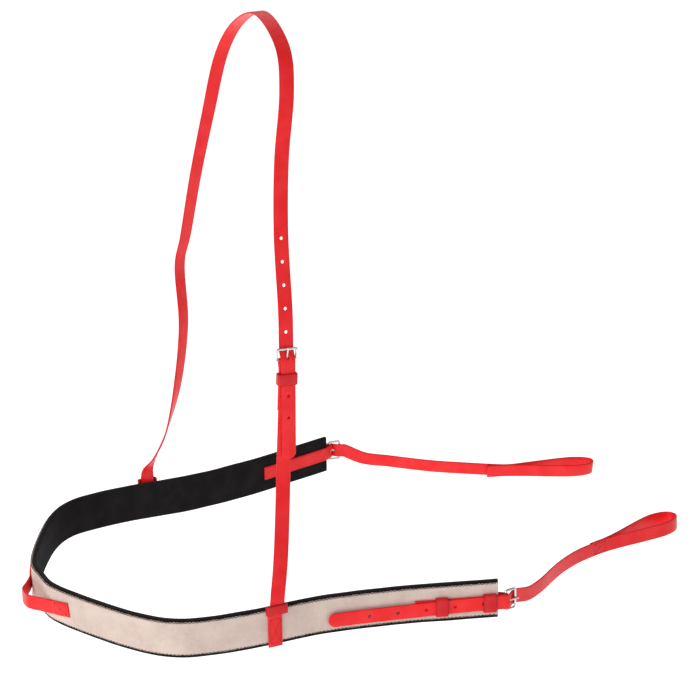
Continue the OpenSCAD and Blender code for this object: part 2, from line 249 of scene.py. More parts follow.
# A strap's rows across, as (place from the middle, how far the face is drawn in there). The row
# at 7.0 is the groove of its stitch line.
STRAP_ROWS = [(0, 0), (2.25, 0), (4.5, 0), (5.8, 0), (6.5, 0.02), (7.0, 0.16), (7.5, 0.02), (8.1, 0.04)]
STRAP_EDGE = [(8.62, 0.24), (8.92, 0.6), (9.0, 1.1)]


def profile(rows, edge, width, thick):
    """The ring of a strap's section, with its top and bottom row numbers by their place across."""
    half = max(e[0] for e in edge)
    ratio = width / 2 / half
    deep = thick / STRAP_T
    right = [(w * ratio, thick / 2 - d) for w, d in rows]
    top = [(-w, t) for w, t in reversed(right[1:])] + right
    side = [(w * ratio, thick / 2 - min(d * deep, thick / 2)) for w, d in edge]
    side = side + [(w, -t) for w, t in reversed(side[:-1])]
    ring = top + side + [(w, -t) for w, t in reversed(top)] + [(-w, -t) for w, t in side]
    n = len(top)
    top_row = {round(w, 3): j for j, (w, _) in enumerate(top)}
    low_row = {round(w, 3): n + len(side) + (n - 1 - j) for j, (w, _) in enumerate(top)}
    return ring, top_row, low_row


# A hole takes the place of the four by four squares of a patch, and a slot that of its middle two
# rows. PATCH_LOOP goes round the patch's rim, as (place along, place across).
PATCH = (-4.5, -2.25, 0.0, 2.25, 4.5)
PATCH_ROOM = 5.6
SLOT_ROOM = 0.35
PATCH_LOOP = ([(i, 0) for i in range(4)] + [(4, j) for j in range(4)]
              + [(i, 4) for i in range(4, 0, -1)] + [(0, j) for j in range(4, 0, -1)])
HOLE_FLARE = 0.5
HOLE_BEVEL = 0.3
TIP_ANGLES = (9, 18, 28, 38, 48, 58, 68, 79, 90)


def strap_stations(path, step, holes, slots, tip):
    """Where a strap's rings go: by its bends, but only its own rows in a patch. tip is its radius."""
    base = [s for s in path.stations(step)
            if all(abs(s - hole[0]) > PATCH_ROOM for hole in holes)
            and all(min(abs(s - a), abs(s - b)) > SLOT_ROOM for a, b in slots)]
    if tip:
        base = [s for s in base if s > tip + 1]
        base += [tip * (1 - math.cos(math.radians(a))) for a in TIP_ANGLES]
    marks = [hole[0] + d for hole in holes for d in PATCH] + [s for slot in slots for s in slot]
    return np.array(sorted(base + marks))


class Skin:
    """A strap's skin: a ring of vertices at each station, and the holes and slots cut in it."""

    def __init__(self, path, stations, across, through, thick):
        self.path = path
        self.stations = stations
        self.ring = across.shape[1]
        self.thick = thick
        along = stations[:, None] + 0 * across
        self.verts = path.at(along, across, through).reshape(-1, 3).tolist()
        self.places = np.stack([along, across, through], axis=-1).reshape(-1, 3).tolist()
        self.faces = []
        self.left_out = set()

    def number(self, s):
        return int(np.argmin(np.abs(self.stations - s)))

    def leave_out(self, columns, rows):
        for i in columns:
            for j, k in zip(rows, rows[1:]):
                self.left_out.add((i, min(j, k)))

    def hole(self, s0, radius, stretch, top, low, ratio):
        """A punched hole with a small bevel. top and low are the patch's row numbers on each face."""
        columns = [self.number(s0 + d) for d in PATCH]
        rims = []
        for rows in (top, low):
            self.leave_out(columns[:-1], rows)
            rims.append([columns[i] * self.ring + rows[j] for i, j in PATCH_LOOP])
        face = self.thick / 2
        layers = [rims[0]]
        bevel = face - HOLE_BEVEL
        for grow, t in ((HOLE_FLARE, face), (0.0, bevel), (0.0, -bevel), (HOLE_FLARE, -face)):
            layer = []
            for i, j in PATCH_LOOP:
                a = math.atan2(PATCH[j] * ratio, PATCH[i])
                s = s0 + (radius + grow + stretch) * math.cos(a)
                w = (radius + grow) * math.sin(a)
                layer.append(len(self.verts))
                self.verts.append(self.path.at(s, w, t).tolist())
                self.places.append([s, w, t])
            layers.append(layer)
        layers.append(rims[1])
        n = len(PATCH_LOOP)
        for upper, lower in zip(layers, layers[1:]):
            for k in range(n):
                self.faces.append([upper[k], upper[(k + 1) % n], lower[(k + 1) % n], lower[k]])

    def slot(self, s0, s1, top, low):
        """A straight-sided slot. top and low are its three row numbers on each face."""
        first, last = self.number(s0), self.number(s1)
        for rows in (top, low):
            self.leave_out(range(first, last), rows)
        for i in range(first, last):
            a, b = i * self.ring, (i + 1) * self.ring
            for up, down in ((top[0], low[0]), (top[2], low[2])):
                self.faces.append([a + up, b + up, b + down, a + down])
        for i in (first, last):
            a = i * self.ring
            for k in (0, 1):
                self.faces.append([a + top[k], a + top[k + 1], a + low[k + 1], a + low[k]])

    def close(self):
        """The squares between the rings, and a cap on each end."""
        m, n = self.ring, len(self.stations)
        for i in range(n - 1):
            for j in range(m):
                if (i, j) not in self.left_out:
                    k = (j + 1) % m
                    self.faces.append([i * m + j, (i + 1) * m + j, (i + 1) * m + k, i * m + k])
        self.faces.append(list(range(m)))
        self.faces.append([(n - 1) * m + j for j in range(m - 1, -1, -1)])


def strap(name, path, material, width=STRAP_W, thick=STRAP_T, rows=STRAP_ROWS, edge=STRAP_EDGE, step=3.5,
          holes=(), slots=(), tip=False, waver=None, relief=None):
    """A strap or sheet along a path, with a rounded section.

    holes are (s, radius, stretch along the strap), slots are (from, to) between the middle rows,
    tip rounds the start, waver(s, side) moves an edge, and relief is (which face, depth(s, w)) and
    draws that face in.
    """
    ring, top_row, low_row = profile(rows, edge, width, thick)
    half = width / 2
    ratio = half / max(e[0] for e in edge)
    stations = strap_stations(path, step, holes, slots, half if tip else 0.0)
    w = np.array([q[0] for q in ring])
    t = np.array([q[1] for q in ring])
    scale = np.ones(len(stations))
    if tip:
        inside = stations < half
        scale[inside] = np.sqrt(np.maximum(half ** 2 - (half - stations[inside]) ** 2, 2.0)) / half
    across = w[None, :] * scale[:, None]
    through = np.tile(t, (len(stations), 1))
    if waver:
        for side in (-1, 1):
            shift = np.array([waver(s, side) for s in stations])
            share = np.clip(side * w / half, 0, 1) ** 3
            across = across + shift[:, None] * share[None, :]
    if relief:
        face, depth = relief
        for j in np.nonzero(t * face > 0)[0]:
            for i, s in enumerate(stations):
                through[i, j] -= face * depth(s, across[i, j])
    skin = Skin(path, stations, across, through, thick)
    patch = [round(q * ratio, 3) for q in PATCH]
    top = [top_row.get(q) for q in patch]
    low = [low_row.get(q) for q in patch]
    for s0, radius, stretch in holes:
        skin.hole(s0, radius, stretch, top, low, ratio)
    for s0, s1 in slots:
        skin.slot(s0, s1, top[1:4], low[1:4])
    skin.close()
    return mesh(name, skin.verts, skin.faces, skin.places, material)


# A stitch's rings along its length, and how high each stands over the strap's face
STITCH_AT = np.array([0.0, 0.22, 0.5, 0.78, 1.0])
STITCH_LIFT = np.array([-0.35, 0.1, 0.16, 0.1, -0.35])
STITCH_SIDES = 5


def stitching(name, seams, material, radius=0.32):
    """Short sunk stitches. Each seam is (path, [((s, w), (s, w)), ...], face height, which face)."""
    verts, faces, places = [], [], []
    last = len(STITCH_AT) - 1
    for path, pieces, height, sign in seams:
        for (s0, w0), (s1, w1) in pieces:
            s = s0 + (s1 - s0) * STITCH_AT
            w = w0 + (w1 - w0) * STITCH_AT
            line = path.at(s, w, sign * (height + STITCH_LIFT))
            up = sign * path.read(s, path.up)
            side = np.cross(unit(line[-1] - line[0]), up)
            start = len(verts)
            for k in range(last + 1):
                for q in range(STITCH_SIDES):
                    a = 2 * math.pi * q / STITCH_SIDES
                    spoke = math.cos(a) * side[k] + math.sin(a) * up[k]
                    verts.append((line[k] + radius * spoke).tolist())
                    places.append([s[k], w[k], STITCH_LIFT[k]])
            for k in range(last):
                a = start + k * STITCH_SIDES
                for q in range(STITCH_SIDES):
                    r = (q + 1) % STITCH_SIDES
                    faces.append([a + q, a + r, a + STITCH_SIDES + r, a + STITCH_SIDES + q])
            faces.append([start + q for q in range(STITCH_SIDES - 1, -1, -1)])
            faces.append([start + last * STITCH_SIDES + q for q in range(STITCH_SIDES)])
    return mesh(name, verts, faces, places, material, smooth=60.0)


def seam_line(a, b, pitch=3.2, gap=0.7):
    """Stitches along the straight line from (s, w) a to b."""
    a, b = np.array(a, float), np.array(b, float)
    length = np.linalg.norm(b - a)
    count = max(1, int(round(length / pitch)))
    step = (b - a) / count
    space = (b - a) / length * gap / 2
    return [(tuple(a + k * step + space), tuple(a + (k + 1) * step - space)) for k in range(count)]


def open_seam(s0, s1, w, closed):
    """A stitched box with one end left open. closed is the end that is sewn across."""
    out = seam_line((s0, -w), (s1, -w)) + seam_line((s0, w), (s1, w))
    return out + seam_line((closed, -w), (closed, w))


def box_seam(s0, s1, w, cross=False):
    """A stitched box, with a cross in it if asked."""
    out = seam_line((s0, -w), (s1, -w)) + seam_line((s1, -w), (s1, w))
    out += seam_line((s1, w), (s0, w)) + seam_line((s0, w), (s0, -w))
    if cross:
        out += seam_line((s0, -w), (s1, w)) + seam_line((s0, w), (s1, -w))
    return out


def rounded(points, radius, steps=5):
    """A polyline in a plane with its inner corners rounded."""
    p = [np.array(q, float) for q in points]
    out = [p[0]]
    for a, b, c in zip(p, p[1:], p[2:]):
        u, v = unit(a - b), unit(c - b)
        r = min(radius, np.linalg.norm(a - b) / 2, np.linalg.norm(c - b) / 2)
        start, end = b + r * u, b + r * v
        for k in range(steps + 1):
            t = k / steps
            out.append((1 - t) ** 2 * start + 2 * t * (1 - t) * b + t * t * end)
    out.append(p[-1])
    return out


# ---------------------------------------------------------------- materials
def srgb(r, g, b):
    return tuple((v / 12.92 if v <= 0.04045 else ((v + 0.055) / 1.055) ** 2.4)
                 for v in (r / 255, g / 255, b / 255)) + (1.0,)


class Nodes:
    """Short names for making a material's nodes."""

    def __init__(self, name):
        self.material = bpy.data.materials.new(name)
        self.material.use_nodes = True
        self.tree = self.material.node_tree
        self.bsdf = self.tree.nodes["Principled BSDF"]

    def add(self, kind, inputs=None, **settings):
        node = self.tree.nodes.new(kind)
        for key, value in settings.items():
            setattr(node, key, value)
        for key, value in (inputs or {}).items():
            self.put(node.inputs[key], value)
        return node

    def put(self, socket, value):
        if isinstance(value, bpy.types.NodeSocket):
            self.tree.links.new(value, socket)
        else:
            socket.default_value = value

    def math(self, operation, *values):
        node = self.add("ShaderNodeMath", operation=operation)
        for socket, value in zip(node.inputs, values):
            self.put(socket, value)
        return node.outputs[0]

    def place(self):
        """The place attribute, and how far along and across it is, in millimetres."""
        vector = self.add("ShaderNodeAttribute", attribute_name="place").outputs["Vector"]
        xyz = self.add("ShaderNodeSeparateXYZ", {"Vector": vector}).outputs
        return vector, xyz[0], xyz[1]

    def noise(self, vector, scale, detail=3.0, roughness=0.55):
        node = self.add("ShaderNodeTexNoise", {"Vector": vector, "Scale": scale, "Detail": detail,
                                               "Roughness": roughness})
        return node.outputs["Fac"]

    def span(self, value, low, high, to_low=0.0, to_high=1.0):
        node = self.add("ShaderNodeMapRange", {"Value": value, "From Min": low, "From Max": high,
                                               "To Min": to_low, "To Max": to_high},
                        interpolation_type="SMOOTHSTEP")
        return node.outputs["Result"]

    def mix(self, factor, a, b):
        node = self.add("ShaderNodeMix", data_type="RGBA")
        self.put(node.inputs["Factor"], factor)
        self.put(node.inputs["A"], a)
        self.put(node.inputs["B"], b)
        return node.outputs["Result"]

    def bump(self, height, distance, strength):
        inputs = {"Height": height, "Distance": distance, "Strength": strength}
        return self.add("ShaderNodeBump", inputs).outputs["Normal"]

    def finish(self, **values):
        for key, value in values.items():
            self.put(self.bsdf.inputs[key.replace("_", " ")], value)
        return self.material


def wave(n, value, pitch):
    """A rounded ridge every pitch, from 0 to 1."""
    turned = n.math("MULTIPLY", value, 2 * math.pi / pitch)
    return n.math("MULTIPLY_ADD", n.math("SINE", turned), 0.5, 0.5)


def strap_material(name, base, deep, pale, edge_at=7.6, edge_to=8.9, rough=0.36):
    """Coated webbing: a fine weave under a glossy skin, with painted shade darkening the edges, which are
    also scuffed.
    """
    n = Nodes(name)
    vector, s, w = n.place()
    broad = n.noise(vector, 0.035, 2.0)
    grain = n.noise(vector, 1.6, 4.0, 0.6)
    scuff = n.noise(vector, 0.45, 5.0, 0.7)
    colour = n.mix(n.span(broad, 0.35, 0.68), base, pale)
    colour = n.mix(n.span(grain, 0.35, 0.8, 0.0, 0.16), colour, deep)
    # Painted shade: the edges are darkened towards the deep colour, standing in for the shade on their
    # rounded faces; the scuffs there are real wear.
    edge = n.span(n.math("ABSOLUTE", w), edge_at, edge_to)
    colour = n.mix(n.math("MULTIPLY", edge, 0.4), colour, deep)
    worn = n.math("MULTIPLY", n.span(scuff, 0.60, 0.72), n.math("MULTIPLY", edge, 0.45))
    colour = n.mix(worn, colour, pale)
    skin = n.span(grain, 0.3, 0.8, rough - 0.06, rough + 0.1)
    roughness = n.math("ADD", skin, n.math("MULTIPLY", worn, 0.35))
    weave = n.math("MULTIPLY", wave(n, s, 1.15), wave(n, w, 1.5))
    height = n.math("MULTIPLY_ADD", grain, 0.7, n.math("MULTIPLY", weave, 0.35))
    return n.finish(Base_Color=colour, Roughness=roughness, Normal=n.bump(height, 0.00016, 0.7),
                    Specular_IOR_Level=0.18, Coat_Weight=0.04, Coat_Roughness=0.25)


def facing_material():
    """Tan felt web: matted fibres over a coarse weave, mottled and a little soiled near the edges."""
    n = Nodes("tan_felt_web")
    vector, s, w = n.place()
    broad = n.noise(vector, 0.03, 3.0)
    mottle = n.noise(vector, 0.16, 4.0, 0.65)
    fibre = n.noise(vector, 1.9, 5.0, 0.75)
    colour = n.mix(n.span(broad, 0.32, 0.68), srgb(212, 193, 182), srgb(200, 179, 169))
    colour = n.mix(n.span(mottle, 0.42, 0.75, 0.0, 0.4), colour, srgb(219, 203, 191))
    colour = n.mix(n.span(fibre, 0.5, 0.85, 0.0, 0.35), colour, srgb(184, 159, 146))
    edge = n.span(n.math("ABSOLUTE", w), 18.2, 21.0)
    soil = n.math("MULTIPLY", edge, n.span(mottle, 0.35, 0.62, 0.15, 0.55))
    colour = n.mix(soil, colour, srgb(168, 143, 131))
    weave = n.math("ADD", wave(n, s, 1.9), wave(n, w, 2.2))
    height = n.math("MULTIPLY_ADD", weave, 0.22, n.math("ADD", fibre, n.math("MULTIPLY", mottle, 0.8)))
    return n.finish(Base_Color=colour, Roughness=n.span(fibre, 0.2, 0.8, 0.88, 0.99),
                    Normal=n.bump(height, 0.0004, 0.75), Sheen_Weight=0.08, Sheen_Roughness=0.5,
                    Specular_IOR_Level=0.15)


def lining_material():
    """Black neoprene with a knitted face: fine columns of stitches, lint and paler rubbed edges."""
    n = Nodes("black_knit_neoprene")
    vector, s, w = n.place()
    lint = n.noise(vector, 0.9, 5.0, 0.8)
    broad = n.noise(vector, 0.05, 2.0)
    colour = n.mix(n.span(broad, 0.3, 0.7), srgb(24, 21, 22), srgb(31, 28, 29))
    colour = n.mix(n.span(lint, 0.62, 0.8, 0.0, 0.35), colour, srgb(74, 68, 70))
    rubbed = n.span(n.math("ABSOLUTE", w), 23.2, 24.9, 0.0, 0.35)
    colour = n.mix(rubbed, colour, srgb(62, 56, 58))
    slant = n.math("ADD", w, n.math("MULTIPLY", s, 0.5))
    knit = n.math("MULTIPLY", wave(n, s, 1.3), wave(n, slant, 1.7))
    height = n.math("MULTIPLY_ADD", knit, 0.7, n.math("MULTIPLY", lint, 0.4))
    return n.finish(Base_Color=colour, Roughness=n.span(lint, 0.3, 0.8, 0.82, 0.95),
                    Normal=n.bump(height, 0.0003, 0.7), Specular_IOR_Level=0.08)


def thread_material(name, base, ply_shade):
    """Twisted thread, by the place of each stitch."""
    n = Nodes(name)
    _, s, w = n.place()
    # Painted shade: stripes along the twist darken the thread, standing in for the shade between its plies.
    twist = wave(n, n.math("ADD", s, w), 0.55)
    colour = n.mix(n.math("MULTIPLY", twist, 0.6), base, ply_shade)
    return n.finish(Base_Color=colour, Roughness=0.62, Normal=n.bump(twist, 0.00012, 0.6),
                    Specular_IOR_Level=0.15)


def chrome_material():
    """Nickel-plated wire, with fine wear in its polish. CAD nodes carry it, so it goes by position."""
    n = Nodes("nickel_plate")
    where = n.add("ShaderNodeTexCoord").outputs["Object"]
    haze = n.noise(where, 260.0, 3.0)
    scratch = n.noise(where, 1500.0, 4.0, 0.7)
    colour = n.mix(n.span(haze, 0.35, 0.7), srgb(222, 220, 218), srgb(190, 188, 188))
    polish = n.span(haze, 0.3, 0.75, 0.1, 0.24)
    roughness = n.math("ADD", polish, n.span(scratch, 0.62, 0.78, 0.0, 0.12))
    return n.finish(Base_Color=colour, Metallic=1.0, Roughness=roughness,
                    Normal=n.bump(scratch, 0.00003, 0.35))


# Each deep colour is both the grain's darker tone and the painted shade at the strap edges.
RED = strap_material("red_coated_webbing", srgb(232, 31, 36), srgb(178, 14, 22), srgb(238, 44, 48))
KEEPER = strap_material("red_keeper_webbing", srgb(200, 24, 31), srgb(144, 10, 18), srgb(212, 38, 44),
                        edge_at=5.2, edge_to=6.9, rough=0.42)
FELT = facing_material()
KNIT = lining_material()
# Each thread's second colour is the painted shade of its twist.
THREAD = thread_material("red_thread", srgb(214, 44, 50), srgb(150, 20, 28))
BLACK_THREAD = thread_material("black_thread", srgb(30, 27, 28), srgb(12, 10, 11))
CHROME = chrome_material()


def done(obj, body, slot, *nodes):
    """The piece rides on its body and stands for its CAD nodes. slot is not used."""
    if body:
        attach(obj, body)
    if nodes:
        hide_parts(*nodes)
    return obj


# ---------------------------------------------------------------- band
def band_path(off, z=0.0):
    """Along the whole band at one height, with a point about every 2 mm."""
    count = int(round(HALF_L))
    return Path([(*rail(s, off), z) for s in np.linspace(-HALF_L, HALF_L, count + 1)], (0, 0, 1))


def rough_edge(amount, pitch, seed):
    """How far a cut edge wavers: about amount, in waves of about pitch."""
    def move(s, side):
        return side * amount * (noise.noise(Vector((s / pitch, side * 3.7 + seed, 0.5))) * 1.6)
    return move


FELT_SEAM = 19.8


def felt_relief(s, w):
    """The felt is drawn in along its two stitch lines and lies a little uneven."""
    seam = math.exp(-((abs(w) - FELT_SEAM) / 0.9) ** 2)
    uneven = 0.5 + 0.5 * noise.noise(Vector((s / 14, w / 9, 2.0)))
    return 0.32 * seam + 0.14 * uneven


FELT_ROWS = [(0, 0), (2.25, 0), (4.5, 0), (7, 0), (9.5, 0), (12, 0), (14.5, 0), (16.5, 0), (18, 0),
             (19.1, 0), (19.7, 0), (20.2, 0), (20.7, 0.02)]
FELT_EDGE = [(21.1, 0.18), (21.35, 0.5), (21.5, 1.1)]
LINING_ROWS = [(0, 0), (2.25, 0), (4.5, 0), (8, 0), (12, 0), (16, 0), (20, 0), (22, 0.02), (23, 0.1)]
LINING_EDGE = [(23.9, 0.2), (24.6, 0.55), (25.0, 1.1)]

facing_path = band_path(FACING_T / 2, z=FACING_Z)
# The rail's up direction points inwards, so the outer face is the low one
facing = strap("chest_facing", facing_path, FELT, width=FACING_H, thick=FACING_T, rows=FELT_ROWS,
               edge=FELT_EDGE, step=2.6, waver=rough_edge(0.35, 5.0, 1.0), relief=(-1, felt_relief))
done(facing, "band", "facing", "band_facing")

lining_path = band_path(-LINING_T / 2)
lining = strap("chest_lining", lining_path, KNIT, width=BAND_H, thick=LINING_T, rows=LINING_ROWS,
               edge=LINING_EDGE, step=4.0, waver=rough_edge(0.25, 30.0, 5.0))
done(lining, "band", "lining", "band_lining")

# The zigzag's inner and outer edge on the facing, the lining's two rows, and the anchors' side seams
ZIGZAG_W = (19.6, 21.3)
ZIGZAG_PITCH = 4.6
ZIGZAG_SUNK = 0.22
LINING_SEAM = 20.2
ANCHOR_SEAM = 6.6


def zigzag(path, side):
    """Zigzag stitches over one edge of the facing, from one end of the band to the other."""
    w_in, w_out = (side * w for w in ZIGZAG_W)
    out = []
    for k in range(int((path.s[-1] - 6) / ZIGZAG_PITCH)):
        s = 3 + k * ZIGZAG_PITCH
        out.append(((s, w_out), (s + ZIGZAG_PITCH / 2, w_in)))
        out.append(((s + ZIGZAG_PITCH / 2, w_in), (s + ZIGZAG_PITCH, w_out)))
    return out


def lining_column(s):
    """The seam of an anchor's edge, as it shows on the lining."""
    s = lining_path.nearest((*rail(s, -LINING_T / 2), 0))
    return seam_line((s, -20), (s, 20), 3.6)


def lining_row(w):
    return seam_line((4, w), (lining_path.s[-1] - 4, w), 4.6, 1.0)


edge_seam = stitching("facing_zigzag", [
    (facing_path, zigzag(facing_path, side), FACING_T / 2 - ZIGZAG_SUNK, -1) for side in (-1, 1)
], BLACK_THREAD, radius=0.34)
done(edge_seam, "band", "lining")
inner_seam = stitching("lining_seams", [
    (lining_path, lining_row(side * LINING_SEAM), LINING_T / 2, 1) for side in (-1, 1)
] + [
    (lining_path, lining_column(foot + edge), LINING_T / 2, 1)
    for foot in (-ANCHOR_S, ANCHOR_S) for edge in (-ANCHOR_SEAM, ANCHOR_SEAM)
], BLACK_THREAD, radius=0.24)
done(inner_seam, "band", "lining")

# ---------------------------------------------------------------- front loop
# Where each end stops and where it leaves the facing, along the band, and how far it bows forward
LOOP_END = 71.0
LOOP_LEAVES = 40.0
LOOP_LIES = 8.0
LOOP_FRONT = 26.0
LOOP_END_Z, LOOP_LEAVE_Z, LOOP_FRONT_Z = 1.5, -3.5, -5.0
# A box seam at a strap's end: from and to, from the end, and half its height
BOX_FROM, BOX_TO, BOX_W = 3.2, 24.5, 6.4


def on_facing(s):
    """A point of the loop's middle line where it lies on the facing, which drops towards the front."""
    part = (s - LOOP_LEAVES) / (LOOP_END - LOOP_LEAVES)
    return (*rail(s, ON_FACING), LOOP_LEAVE_Z + part * (LOOP_END_Z - LOOP_LEAVE_Z))


flat_part = [on_facing(s) for s in np.arange(LOOP_END, LOOP_LEAVES + LOOP_LIES, -2.0)]
bow = spline([on_facing(LOOP_LEAVES + LOOP_LIES), on_facing(LOOP_LEAVES), (-14, 26, LOOP_FRONT_Z + 0.4),
              (-LOOP_FRONT + 2, 12, LOOP_FRONT_Z), (-LOOP_FRONT, 0, LOOP_FRONT_Z)], 10)
half_loop = flat_part + [tuple(q) for q in bow]
loop_points = [(x, -y, z) for x, y, z in half_loop[:-1]] + list(reversed(half_loop))
front_path = Path(loop_points, (0, 0, 1))
front_loop = strap("front_loop", front_path, RED, step=3.0)
done(front_loop, "band", "strap", "front_loop_strap")
front_len = front_path.s[-1]
front_seams = stitching("front_loop_seams", [
    (front_path, box_seam(BOX_FROM, BOX_TO, BOX_W, True), STRAP_T / 2, -1),
    (front_path, box_seam(front_len - BOX_TO, front_len - BOX_FROM, BOX_W, True), STRAP_T / 2, -1),
], THREAD)
done(front_seams, "band", "strap")


# ---------------------------------------------------------------- girth side
def side_points(points, side):
    return [(p[0], side * p[1], p[2]) for p in points]


def swing_at(q, angle):
    """From buckle coordinates, q[0] along the buckle and q[1] outwards, to the plan."""
    a = turn(angle)
    return HEEL + np.array([q[0] * a[0] - q[1] * a[1], q[0] * a[1] + q[1] * a[0]])


# Once over the heel bar, a strap leaves the fold at this angle and dips under the toe of the frame
LEAVES_AT = 64
UNDER_TOE = (FRAME_L * math.cos(math.radians(RAKE)),
             FRAME_L * math.sin(math.radians(RAKE)) - BAR_R - TOE_GAP - STRAP_T / 2)
PAST_TOE = (UNDER_TOE[0] + 6, UNDER_TOE[1] - 0.2)
DIP = spline([PASS_R * turn(LEAVES_AT), (7, 1.9), (10.6, 0), UNDER_TOE, PAST_TOE], 8)[1:]
# The middle line of the free run, then the end loop, as (along it, off its middle)
RUN = [(532, 242, -10), (559, 223, -12), (585, 201, -13), (611, 181, -14), (639, 164, -15), (668, 150, -17)]
LOOP_ROOT = (695, 138, -19)
LOOP_ANGLE = -16.5
LAP = 26.0
LAP_OFF = 1.2
LAP_SLOPE = 0.006
TEARDROP = [(0, LAP_OFF), (25, 4.4), (55, 10), (85, 14.5), (104, 13), (115, 7.5), (118, 0)]
# The tail comes level with its chape from a place on the band and over a length, and lifts by the
# play from a place before the band's end and over a length
LEVEL_FROM, LEVEL_OVER = 490, 115
LIFT_BEFORE, LIFT_OVER = 24, 30
# The chape's seams, from its end and half their height, and how far back its slot begins
CHAPE_SEAM_IN = 3
CHAPE_SEAM_W = 7.0
SLOT_BACK = 4
# From the fold onto the lining, as (past the band's end, outwards)
INNER_BEND = [(5, -4.35), (-1, -6.02), (-7, -6.1)]
# Keepers round the tail, as (word, place along, width, height off the chape's middle, room inside)
TAIL_KEEPERS = (("tail", 552.0, 15.0, -0.7, 20.0), ("buckle", 610.0, 16.0, -0.1, 19.6))


def loop_at(d, w):
    """From the end loop's own line to the frame: d on from its root and w across it."""
    a = turn(LOOP_ANGLE)
    return (LOOP_ROOT[0] + d * a[0] - w * a[1], LOOP_ROOT[1] + d * a[1] + w * a[0], LOOP_ROOT[2] - d / 100)


def tail_z(s, side):
    """The tail lies lower at its tip than at the buckle."""
    return CHAPE_Z[side] - TAIL_DROP * (1 - ramp((s - LEVEL_FROM) / LEVEL_OVER))


def girth_line(side, grow):
    """The girth strap from its tip to the end of its lap, drawn on the right, and where its run begins.

    grow stretches the end loop, as (along, across).
    """
    tail = []
    for s in np.arange(TAIL_FROM, HALF_L + HEEL_PAST_END - 1.0, 2.0):
        near = ramp((s - HALF_L + LIFT_BEFORE) / LIFT_OVER)
        tail.append((*rail(s, LEAF_OFF + STRAP_T / 2 + PLAY * near), tail_z(s, side)))
    over = [(*(HEEL + PASS_R * turn(a)), CHAPE_Z[side])
            for a in np.arange(END_ANGLE + 90, SWING_ANGLE + LEAVES_AT, -6.0)]
    dip = [(*swing_at(q, SWING_ANGLE), CHAPE_Z[side]) for q in DIP]
    teardrop = [(grow[0] * d, grow[1] * w) for d, w in TEARDROP]
    back = [loop_at(d, -w) for d, w in reversed(teardrop[:-1])]
    back += [loop_at(-d, -LAP_OFF + d * LAP_SLOPE) for d in (LAP / 2, LAP)]
    free = spline([dip[-1]] + RUN + [loop_at(d, w) for d, w in teardrop] + back, 16)
    first = tail + over + dip[:-1]
    return first + list(free), len(first)


def girth_strap(side, word, body, path):
    """The strap's skin, which bends where it passes over the heel bar, and the seams of its end loop."""
    chape_z = CHAPE_Z[side]
    hole = swing_at(TONGUE_AT, SWING_ANGLE)
    slot_s = path.nearest((hole[0], side * hole[1], chape_z))
    holes = [(FIRST_GIRTH_HOLE + k * GIRTH_PITCH, HOLE_R, 0.0) for k in range(5)] + [(slot_s, *TONGUE_HOLE)]
    piece = strap(word + "_girth_strap_skin", path, RED, holes=holes, tip=True, step=3.2)
    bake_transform(piece)
    done(piece, None, "strap", word + "_girth_strap", word + "_girth_tail")

    # The lap that closes the end loop lies on the run, and the seam shows on both
    total = path.s[-1]
    outward = -1 if side > 0 else 1
    root = path.nearest(side_points([LOOP_ROOT], side)[0])
    seams = stitching(word + "_loop_seams", [
        (path, box_seam(total - LAP + 2.5, total - 2.5, BOX_W, True), STRAP_T / 2, -outward),
        (path, box_seam(root - LAP + 1.5, root - 3.5, BOX_W, True), STRAP_T / 2, outward),
    ], THREAD)
    done(seams, body, "strap")


def girth_chape(side, word):
    """Outer leaf, fold round the heel bar with a slot for the tongue, and inner leaf."""
    chape_z = CHAPE_Z[side]
    outward = -1 if side > 0 else 1
    tip = turn(END_ANGLE)
    cross = np.array([-tip[1], tip[0]])
    outer = [rail(q, ON_FACING) for q in np.arange(CHAPE_FROM, HALF_L + HEEL_PAST_END - 0.5, 2.0)]
    fold = [HEEL + FOLD_R * (math.cos(a) * tip + math.sin(a) * cross)
            for a in np.radians(np.arange(90, -61, -7.5))]
    down = spline([fold[-3], fold[-1]] + [rail(HALF_L + d, off) for d, off in INNER_BEND], 6)[7:]
    inner = [rail(q, ON_LINING) for q in np.arange(HALF_L - 9, INNER_FROM - 0.1, -2.0)]
    line = [(*q, chape_z) for q in outer + fold + down + inner]
    path = Path(side_points(line, side), (0, 0, 1))
    back = HEEL - SLOT_BACK * tip
    top_s = path.nearest((*(back + FOLD_R * cross) * (1, side), chape_z))
    low_s = path.nearest((*(fold[-1] - 3.5 * tip - 1.4 * cross) * (1, side), chape_z))
    chape = strap(word + "_chape_skin", path, RED, slots=[(top_s, low_s)], step=3.5)
    done(chape, "band", "strap", word + "_chape")
    total = path.s[-1]
    leaf = HALF_L - CHAPE_FROM - CHAPE_SEAM_IN
    end = total - CHAPE_SEAM_IN
    height = STRAP_T / 2 - 0.1
    seams = stitching(word + "_chape_seams", [
        (path, open_seam(CHAPE_SEAM_IN, leaf, CHAPE_SEAM_W, CHAPE_SEAM_IN), height, outward),
        (path, open_seam(total - leaf, end, CHAPE_SEAM_W, end), height, outward),
    ], THREAD)
    done(seams, "band", "strap")


def tail_keeper(side, word, label, s_at, width, drop, room):
    """An arch from the facing over the tail, with its section drawn as (height, outwards)."""
    high = FACING_T + 2 * STRAP_T + 0.3 + KEEPER_T / 2
    reach = room / 2 + KEEPER_T / 2
    section = rounded([(-reach + 0.5, 1.0), (-reach, 3.0), (-reach, high - 0.2), (-reach + 2, high),
                       (reach - 2, high), (reach, high - 0.2), (reach, 3.0), (reach - 0.5, 1.0)], 1.9)
    arch = [(z, off + 0.25 * math.cos(math.pi * z / 2 / reach) if off > 4 else off) for z, off in section]
    mid_z = CHAPE_Z[side] + drop
    points = [(*rail(s_at, off), mid_z + z) for z, off in arch]
    g = rail(s_at + 1) - rail(s_at - 1)
    path = Path(side_points(points, side), (g[0], side * g[1], 0))
    name = word + "_" + label + "_keeper"
    keeper = strap(name + "_skin", path, KEEPER, width=width, thick=KEEPER_T, step=2.0)
    done(keeper, "band", "keeper", name)


